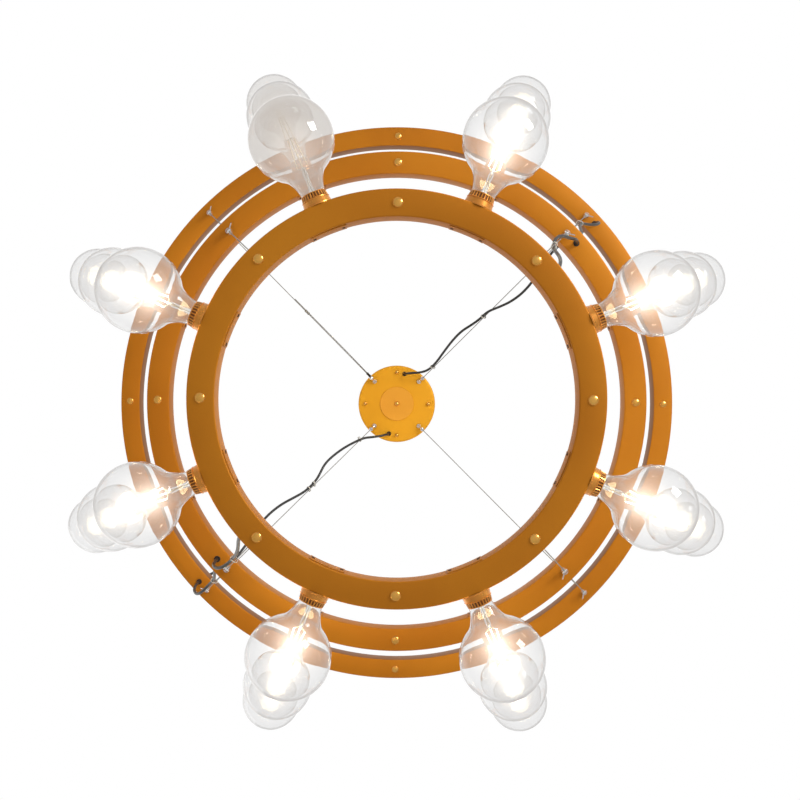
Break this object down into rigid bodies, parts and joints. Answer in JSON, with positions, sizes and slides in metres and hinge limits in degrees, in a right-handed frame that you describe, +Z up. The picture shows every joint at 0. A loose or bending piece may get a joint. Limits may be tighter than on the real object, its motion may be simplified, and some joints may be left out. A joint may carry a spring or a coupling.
{
  "type": "wagon wheel chandelier",
  "caption": "Tiered chandelier of square-tube rings hung one under another from a round canopy by steel wires, with globe bulbs pointing outward.",
  "frame": {"origin": "on the ceiling plane, in the middle of the canopy's mounting plate", "axes": "+Z up into the ceiling; X and Y level, each half way between two of the four suspension wires"},
  "size_m": [1.4342, 1.4342, 1.3325],
  "materials": {
    "ring_gold": "satin gold lacquer",
    "canopy_gold": "satin gold lacquer",
    "cup_gold": "bright gold",
    "polished_brass": "polished",
    "chrome_fittings": "polished",
    "steel_wire": "stranded",
    "zinc_steel": "zinc plated",
    "black_plastic": "moulded",
    "black_rubber": "matt",
    "black_cable": "satin sheath",
    "lamp_wiring": "satin sheath",
    "clear_nylon": "natural nylon",
    "bulb_glass": "clear"
  },
  "bodies": {
    "canopy": {"ceiling_plate": "zinc_steel", "canopy_studs": "zinc_steel", "canopy_dish": "canopy_gold", "canopy_cover": "canopy_gold", "canopy_centre_screw": "polished_brass", "canopy_cap_nuts": "polished_brass", "terminal_block": "black_plastic", "canopy_bushings": "black_rubber", "canopy_grippers": "chrome_fittings"},
    "suspension": {"upper_wires": "steel_wire", "upper_cable_a": "black_cable", "upper_cable_b": "black_cable", "upper_cable_ties": "clear_nylon"},
    "tiers": {"middle_wires": "steel_wire", "lower_wires": "steel_wire", "upper_ring": "ring_gold", "middle_ring": "ring_gold", "lower_ring": "ring_gold", "face_rivets": "polished_brass", "ring_wiring": "lamp_wiring", "ring_wire_fittings": "chrome_fittings", "cable_grommets": "black_rubber", "lower_cable_ties": "clear_nylon", "upper_socket_cups": "cup_gold", "upper_lampholders": "black_plastic", "upper_access_covers": "ring_gold", "middle_socket_cups": "cup_gold", "middle_lampholders": "black_plastic", "middle_access_covers": "ring_gold", "lower_socket_cups": "cup_gold", "lower_lampholders": "black_plastic", "lower_access_covers": "ring_gold", "middle_cable_a": "black_cable", "middle_cable_b": "black_cable", "lower_cable_a": "black_cable", "lower_cable_b": "black_cable"},
    "upper_bulb_1": {"upper_bulb_1": "bulb_glass"},
    "upper_bulb_2": {"upper_bulb_2": "bulb_glass"},
    "upper_bulb_3": {"upper_bulb_3": "bulb_glass"},
    "upper_bulb_4": {"upper_bulb_4": "bulb_glass"},
    "upper_bulb_5": {"upper_bulb_5": "bulb_glass"},
    "upper_bulb_6": {"upper_bulb_6": "bulb_glass"},
    "upper_bulb_7": {"upper_bulb_7": "bulb_glass"},
    "upper_bulb_8": {"upper_bulb_8": "bulb_glass"},
    "middle_bulb_1": {"middle_bulb_1": "bulb_glass"},
    "middle_bulb_2": {"middle_bulb_2": "bulb_glass"},
    "middle_bulb_3": {"middle_bulb_3": "bulb_glass"},
    "middle_bulb_4": {"middle_bulb_4": "bulb_glass"},
    "middle_bulb_5": {"middle_bulb_5": "bulb_glass"},
    "middle_bulb_6": {"middle_bulb_6": "bulb_glass"},
    "middle_bulb_7": {"middle_bulb_7": "bulb_glass"},
    "middle_bulb_8": {"middle_bulb_8": "bulb_glass"},
    "lower_bulb_1": {"lower_bulb_1": "bulb_glass"},
    "lower_bulb_2": {"lower_bulb_2": "bulb_glass"},
    "lower_bulb_3": {"lower_bulb_3": "bulb_glass"},
    "lower_bulb_4": {"lower_bulb_4": "bulb_glass"},
    "lower_bulb_5": {"lower_bulb_5": "bulb_glass"},
    "lower_bulb_6": {"lower_bulb_6": "bulb_glass"},
    "lower_bulb_7": {"lower_bulb_7": "bulb_glass"},
    "lower_bulb_8": {"lower_bulb_8": "bulb_glass"}
  },
  "joints": [
    {"name": "sway_x", "type": "hinge", "parent": "canopy", "child": "suspension", "pos_m": [0, 0, 0.0339], "axis": [1, 0, 0], "range_deg": [-4, 4], "deforming": ["upper_wires", "upper_cable_a", "upper_cable_b"]},
    {"name": "sway_y", "type": "hinge", "parent": "suspension", "child": "tiers", "pos_m": [0, 0, 0.0339], "axis": [0, 1, 0], "range_deg": [-4, 4], "deforming": ["upper_wires", "upper_cable_a", "upper_cable_b"]},
    {"name": "upper_bulb_1_out", "type": "slide", "parent": "tiers", "child": "upper_bulb_1", "axis": [0.9239, 0.3827, 0], "range_m": [0, 0.03]},
    {"name": "upper_bulb_2_out", "type": "slide", "parent": "tiers", "child": "upper_bulb_2", "axis": [0.3827, 0.9239, 0], "range_m": [0, 0.03]},
    {"name": "upper_bulb_3_out", "type": "slide", "parent": "tiers", "child": "upper_bulb_3", "axis": [-0.3827, 0.9239, 0], "range_m": [0, 0.03]},
    {"name": "upper_bulb_4_out", "type": "slide", "parent": "tiers", "child": "upper_bulb_4", "axis": [-0.9239, 0.3827, 0], "range_m": [0, 0.03]},
    {"name": "upper_bulb_5_out", "type": "slide", "parent": "tiers", "child": "upper_bulb_5", "axis": [-0.9239, -0.3827, 0], "range_m": [0, 0.03]},
    {"name": "upper_bulb_6_out", "type": "slide", "parent": "tiers", "child": "upper_bulb_6", "axis": [-0.3827, -0.9239, 0], "range_m": [0, 0.03]},
    {"name": "upper_bulb_7_out", "type": "slide", "parent": "tiers", "child": "upper_bulb_7", "axis": [0.3827, -0.9239, 0], "range_m": [0, 0.03]},
    {"name": "upper_bulb_8_out", "type": "slide", "parent": "tiers", "child": "upper_bulb_8", "axis": [0.9239, -0.3827, 0], "range_m": [0, 0.03]},
    {"name": "middle_bulb_1_out", "type": "slide", "parent": "tiers", "child": "middle_bulb_1", "axis": [0.9239, 0.3827, 0], "range_m": [0, 0.03]},
    {"name": "middle_bulb_2_out", "type": "slide", "parent": "tiers", "child": "middle_bulb_2", "axis": [0.3827, 0.9239, 0], "range_m": [0, 0.03]},
    {"name": "middle_bulb_3_out", "type": "slide", "parent": "tiers", "child": "middle_bulb_3", "axis": [-0.3827, 0.9239, 0], "range_m": [0, 0.03]},
    {"name": "middle_bulb_4_out", "type": "slide", "parent": "tiers", "child": "middle_bulb_4", "axis": [-0.9239, 0.3827, 0], "range_m": [0, 0.03]},
    {"name": "middle_bulb_5_out", "type": "slide", "parent": "tiers", "child": "middle_bulb_5", "axis": [-0.9239, -0.3827, 0], "range_m": [0, 0.03]},
    {"name": "middle_bulb_6_out", "type": "slide", "parent": "tiers", "child": "middle_bulb_6", "axis": [-0.3827, -0.9239, 0], "range_m": [0, 0.03]},
    {"name": "middle_bulb_7_out", "type": "slide", "parent": "tiers", "child": "middle_bulb_7", "axis": [0.3827, -0.9239, 0], "range_m": [0, 0.03]},
    {"name": "middle_bulb_8_out", "type": "slide", "parent": "tiers", "child": "middle_bulb_8", "axis": [0.9239, -0.3827, 0], "range_m": [0, 0.03]},
    {"name": "lower_bulb_1_out", "type": "slide", "parent": "tiers", "child": "lower_bulb_1", "axis": [0.9239, 0.3827, 0], "range_m": [0, 0.03]},
    {"name": "lower_bulb_2_out", "type": "slide", "parent": "tiers", "child": "lower_bulb_2", "axis": [0.3827, 0.9239, 0], "range_m": [0, 0.03]},
    {"name": "lower_bulb_3_out", "type": "slide", "parent": "tiers", "child": "lower_bulb_3", "axis": [-0.3827, 0.9239, 0], "range_m": [0, 0.03]},
    {"name": "lower_bulb_4_out", "type": "slide", "parent": "tiers", "child": "lower_bulb_4", "axis": [-0.9239, 0.3827, 0], "range_m": [0, 0.03]},
    {"name": "lower_bulb_5_out", "type": "slide", "parent": "tiers", "child": "lower_bulb_5", "axis": [-0.9239, -0.3827, 0], "range_m": [0, 0.03]},
    {"name": "lower_bulb_6_out", "type": "slide", "parent": "tiers", "child": "lower_bulb_6", "axis": [-0.3827, -0.9239, 0], "range_m": [0, 0.03]},
    {"name": "lower_bulb_7_out", "type": "slide", "parent": "tiers", "child": "lower_bulb_7", "axis": [0.3827, -0.9239, 0], "range_m": [0, 0.03]},
    {"name": "lower_bulb_8_out", "type": "slide", "parent": "tiers", "child": "lower_bulb_8", "axis": [0.9239, -0.3827, 0], "range_m": [0, 0.03]}
  ]
}
